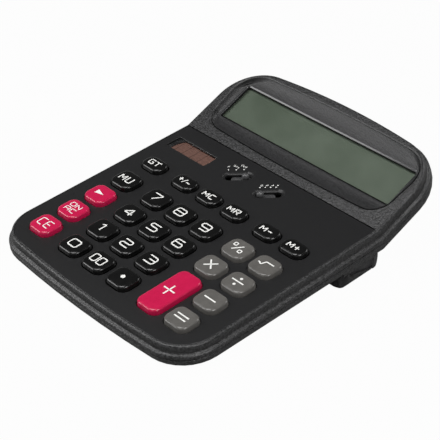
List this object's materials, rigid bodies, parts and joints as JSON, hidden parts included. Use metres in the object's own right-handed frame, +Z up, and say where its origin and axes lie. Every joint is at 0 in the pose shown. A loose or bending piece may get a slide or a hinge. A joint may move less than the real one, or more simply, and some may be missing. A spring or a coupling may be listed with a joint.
{
  "type": "desk calculator",
  "caption": "Desk calculator with a dished, sloped display, sprung domed keys, two slide switches, a solar window and a fold-out rear stand.",
  "frame": {"origin": "middle of the bounding box at the desk surface, where the rubber feet stand", "axes": "+X to the user's right, +Y from the front edge to the display head, +Z up from the desk"},
  "size_m": [0.1514, 0.1936, 0.048],
  "materials": {
    "case_black": "fine spark-eroded texture",
    "bezel_black": "satin moulding",
    "plate_black": "smooth satin, printed marks",
    "key_black": "glossy moulding",
    "key_grey": "glossy moulding",
    "key_pink": "glossy moulding",
    "slider_black": "smooth moulding",
    "clear_window": "clear acrylic sheet",
    "lcd_glass": "grey-green liquid crystal cell",
    "holder_white": "plain moulding",
    "ribbon_amber": "polyimide film",
    "solar_brown": "amorphous solar cell",
    "lead_red": "insulated wire",
    "mat_rubber": "moulded silicone",
    "board_green": "laminate with solder mask",
    "resin_black": "potting resin",
    "screw_steel": "zinc plated",
    "spring_brass": "plain strip",
    "cell_steel": "stamped can",
    "foot_rubber": "plain pad"
  },
  "bodies": {
    "housing": {"top_case": "case_black", "key_plate": "plate_black", "display_bezel": "bezel_black", "display_window": "clear_window", "lcd_panel": "lcd_glass", "lcd_holder": "holder_white", "lcd_ribbon": "ribbon_amber", "solar_window": "clear_window", "solar_cell": "solar_brown", "solar_leads": "lead_red", "dome_mat": "mat_rubber", "main_board": "board_green", "chip_cover": "resin_black", "board_screws": "screw_steel", "bottom_case": "case_black", "case_screws": "screw_steel", "button_cell": "cell_steel", "positive_contact": "spring_brass", "negative_contact": "spring_brass", "rubber_feet": "foot_rubber"},
    "stand": {"stand": "case_black"},
    "battery_door": {"battery_door": "case_black"},
    "rounding_switch": {"rounding_slider": "slider_black", "rounding_wiper": "spring_brass"},
    "decimal_switch": {"decimal_slider": "slider_black", "decimal_wiper": "spring_brass"},
    "key_clear_entry": {"key_clear_entry": "key_pink"},
    "key_on_clear": {"key_on_clear": "key_pink"},
    "key_backspace": {"key_backspace": "key_pink"},
    "key_mark_up": {"key_mark_up": "key_black"},
    "key_grand_total": {"key_grand_total": "key_black"},
    "key_0": {"key_0": "key_black"},
    "key_1": {"key_1": "key_black"},
    "key_4": {"key_4": "key_black"},
    "key_7": {"key_7": "key_black"},
    "key_sign_change": {"key_sign_change": "key_black"},
    "key_00": {"key_00": "key_black"},
    "key_2": {"key_2": "key_black"},
    "key_5": {"key_5": "key_black"},
    "key_8": {"key_8": "key_black"},
    "key_memory_clear": {"key_memory_clear": "key_black"},
    "key_point": {"key_point": "key_black"},
    "key_3": {"key_3": "key_black"},
    "key_6": {"key_6": "key_black"},
    "key_9": {"key_9": "key_black"},
    "key_memory_recall": {"key_memory_recall": "key_black"},
    "key_plus": {"key_plus": "key_pink"},
    "key_multiply": {"key_multiply": "key_grey"},
    "key_percent": {"key_percent": "key_grey"},
    "key_memory_minus": {"key_memory_minus": "key_black"},
    "key_equals": {"key_equals": "key_grey"},
    "key_minus": {"key_minus": "key_grey"},
    "key_divide": {"key_divide": "key_grey"},
    "key_square_root": {"key_square_root": "key_grey"},
    "key_memory_plus": {"key_memory_plus": "key_black"}
  },
  "joints": [
    {"name": "stand_hinge", "type": "hinge", "parent": "housing", "child": "stand", "pos_m": [0, 0.02219, 0.00887], "axis": [-1, 0, 0], "range_deg": [0, 90]},
    {"name": "battery_door_hinge", "type": "hinge", "parent": "housing", "child": "battery_door", "pos_m": [0.018, 0.01769, 0.00121], "axis": [-1, 0, 0], "range_deg": [0, 45]},
    {"name": "rounding_switch_slide", "type": "slide", "parent": "housing", "child": "rounding_switch", "axis": [0.7071, 0.704, 0.0666], "range_m": [-0.0084, 0]},
    {"name": "decimal_switch_slide", "type": "slide", "parent": "housing", "child": "decimal_switch", "axis": [0.7071, 0.704, 0.0666], "range_m": [0, 0.0087]},
    {"name": "key_clear_entry_press", "type": "slide", "parent": "housing", "child": "key_clear_entry", "axis": [0, 0.0942, -0.9956], "range_m": [0, 0.0018], "stiffness_N_per_m": 300, "springref_m": -0.0004, "deforming": ["dome_mat"]},
    {"name": "key_on_clear_press", "type": "slide", "parent": "housing", "child": "key_on_clear", "axis": [0, 0.0942, -0.9956], "range_m": [0, 0.0018], "stiffness_N_per_m": 300, "springref_m": -0.0004, "deforming": ["dome_mat"]},
    {"name": "key_backspace_press", "type": "slide", "parent": "housing", "child": "key_backspace", "axis": [0, 0.0942, -0.9956], "range_m": [0, 0.0018], "stiffness_N_per_m": 300, "springref_m": -0.0004, "deforming": ["dome_mat"]},
    {"name": "key_mark_up_press", "type": "slide", "parent": "housing", "child": "key_mark_up", "axis": [0, 0.0942, -0.9956], "range_m": [0, 0.0018], "stiffness_N_per_m": 300, "springref_m": -0.0004, "deforming": ["dome_mat"]},
    {"name": "key_grand_total_press", "type": "slide", "parent": "housing", "child": "key_grand_total", "axis": [0, 0.0942, -0.9956], "range_m": [0, 0.0018], "stiffness_N_per_m": 300, "springref_m": -0.0004, "deforming": ["dome_mat"]},
    {"name": "key_0_press", "type": "slide", "parent": "housing", "child": "key_0", "axis": [0, 0.0942, -0.9956], "range_m": [0, 0.0018], "stiffness_N_per_m": 300, "springref_m": -0.0004, "deforming": ["dome_mat"]},
    {"name": "key_1_press", "type": "slide", "parent": "housing", "child": "key_1", "axis": [0, 0.0942, -0.9956], "range_m": [0, 0.0018], "stiffness_N_per_m": 300, "springref_m": -0.0004, "deforming": ["dome_mat"]},
    {"name": "key_4_press", "type": "slide", "parent": "housing", "child": "key_4", "axis": [0, 0.0942, -0.9956], "range_m": [0, 0.0018], "stiffness_N_per_m": 300, "springref_m": -0.0004, "deforming": ["dome_mat"]},
    {"name": "key_7_press", "type": "slide", "parent": "housing", "child": "key_7", "axis": [0, 0.0942, -0.9956], "range_m": [0, 0.0018], "stiffness_N_per_m": 300, "springref_m": -0.0004, "deforming": ["dome_mat"]},
    {"name": "key_sign_change_press", "type": "slide", "parent": "housing", "child": "key_sign_change", "axis": [0, 0.0942, -0.9956], "range_m": [0, 0.0018], "stiffness_N_per_m": 300, "springref_m": -0.0004, "deforming": ["dome_mat"]},
    {"name": "key_00_press", "type": "slide", "parent": "housing", "child": "key_00", "axis": [0, 0.0942, -0.9956], "range_m": [0, 0.0018], "stiffness_N_per_m": 300, "springref_m": -0.0004, "deforming": ["dome_mat"]},
    {"name": "key_2_press", "type": "slide", "parent": "housing", "child": "key_2", "axis": [0, 0.0942, -0.9956], "range_m": [0, 0.0018], "stiffness_N_per_m": 300, "springref_m": -0.0004, "deforming": ["dome_mat"]},
    {"name": "key_5_press", "type": "slide", "parent": "housing", "child": "key_5", "axis": [0, 0.0942, -0.9956], "range_m": [0, 0.0018], "stiffness_N_per_m": 300, "springref_m": -0.0004, "deforming": ["dome_mat"]},
    {"name": "key_8_press", "type": "slide", "parent": "housing", "child": "key_8", "axis": [0, 0.0942, -0.9956], "range_m": [0, 0.0018], "stiffness_N_per_m": 300, "springref_m": -0.0004, "deforming": ["dome_mat"]},
    {"name": "key_memory_clear_press", "type": "slide", "parent": "housing", "child": "key_memory_clear", "axis": [0, 0.0942, -0.9956], "range_m": [0, 0.0018], "stiffness_N_per_m": 300, "springref_m": -0.0004, "deforming": ["dome_mat"]},
    {"name": "key_point_press", "type": "slide", "parent": "housing", "child": "key_point", "axis": [0, 0.0942, -0.9956], "range_m": [0, 0.0018], "stiffness_N_per_m": 300, "springref_m": -0.0004, "deforming": ["dome_mat"]},
    {"name": "key_3_press", "type": "slide", "parent": "housing", "child": "key_3", "axis": [0, 0.0942, -0.9956], "range_m": [0, 0.0018], "stiffness_N_per_m": 300, "springref_m": -0.0004, "deforming": ["dome_mat"]},
    {"name": "key_6_press", "type": "slide", "parent": "housing", "child": "key_6", "axis": [0, 0.0942, -0.9956], "range_m": [0, 0.0018], "stiffness_N_per_m": 300, "springref_m": -0.0004, "deforming": ["dome_mat"]},
    {"name": "key_9_press", "type": "slide", "parent": "housing", "child": "key_9", "axis": [0, 0.0942, -0.9956], "range_m": [0, 0.0018], "stiffness_N_per_m": 300, "springref_m": -0.0004, "deforming": ["dome_mat"]},
    {"name": "key_memory_recall_press", "type": "slide", "parent": "housing", "child": "key_memory_recall", "axis": [0, 0.0942, -0.9956], "range_m": [0, 0.0018], "stiffness_N_per_m": 300, "springref_m": -0.0004, "deforming": ["dome_mat"]},
    {"name": "key_plus_press", "type": "slide", "parent": "housing", "child": "key_plus", "axis": [0, 0.0942, -0.9956], "range_m": [0, 0.0018], "stiffness_N_per_m": 300, "springref_m": -0.0004, "deforming": ["dome_mat"]},
    {"name": "key_multiply_press", "type": "slide", "parent": "housing", "child": "key_multiply", "axis": [0, 0.0942, -0.9956], "range_m": [0, 0.0018], "stiffness_N_per_m": 300, "springref_m": -0.0004, "deforming": ["dome_mat"]},
    {"name": "key_percent_press", "type": "slide", "parent": "housing", "child": "key_percent", "axis": [0, 0.0942, -0.9956], "range_m": [0, 0.0018], "stiffness_N_per_m": 300, "springref_m": -0.0004, "deforming": ["dome_mat"]},
    {"name": "key_memory_minus_press", "type": "slide", "parent": "housing", "child": "key_memory_minus", "axis": [0, 0.0942, -0.9956], "range_m": [0, 0.0018], "stiffness_N_per_m": 300, "springref_m": -0.0004, "deforming": ["dome_mat"]},
    {"name": "key_equals_press", "type": "slide", "parent": "housing", "child": "key_equals", "axis": [0, 0.0942, -0.9956], "range_m": [0, 0.0018], "stiffness_N_per_m": 300, "springref_m": -0.0004, "deforming": ["dome_mat"]},
    {"name": "key_minus_press", "type": "slide", "parent": "housing", "child": "key_minus", "axis": [0, 0.0942, -0.9956], "range_m": [0, 0.0018], "stiffness_N_per_m": 300, "springref_m": -0.0004, "deforming": ["dome_mat"]},
    {"name": "key_divide_press", "type": "slide", "parent": "housing", "child": "key_divide", "axis": [0, 0.0942, -0.9956], "range_m": [0, 0.0018], "stiffness_N_per_m": 300, "springref_m": -0.0004, "deforming": ["dome_mat"]},
    {"name": "key_square_root_press", "type": "slide", "parent": "housing", "child": "key_square_root", "axis": [0, 0.0942, -0.9956], "range_m": [0, 0.0018], "stiffness_N_per_m": 300, "springref_m": -0.0004, "deforming": ["dome_mat"]},
    {"name": "key_memory_plus_press", "type": "slide", "parent": "housing", "child": "key_memory_plus", "axis": [0, 0.0942, -0.9956], "range_m": [0, 0.0018], "stiffness_N_per_m": 300, "springref_m": -0.0004, "deforming": ["dome_mat"]}
  ]
}
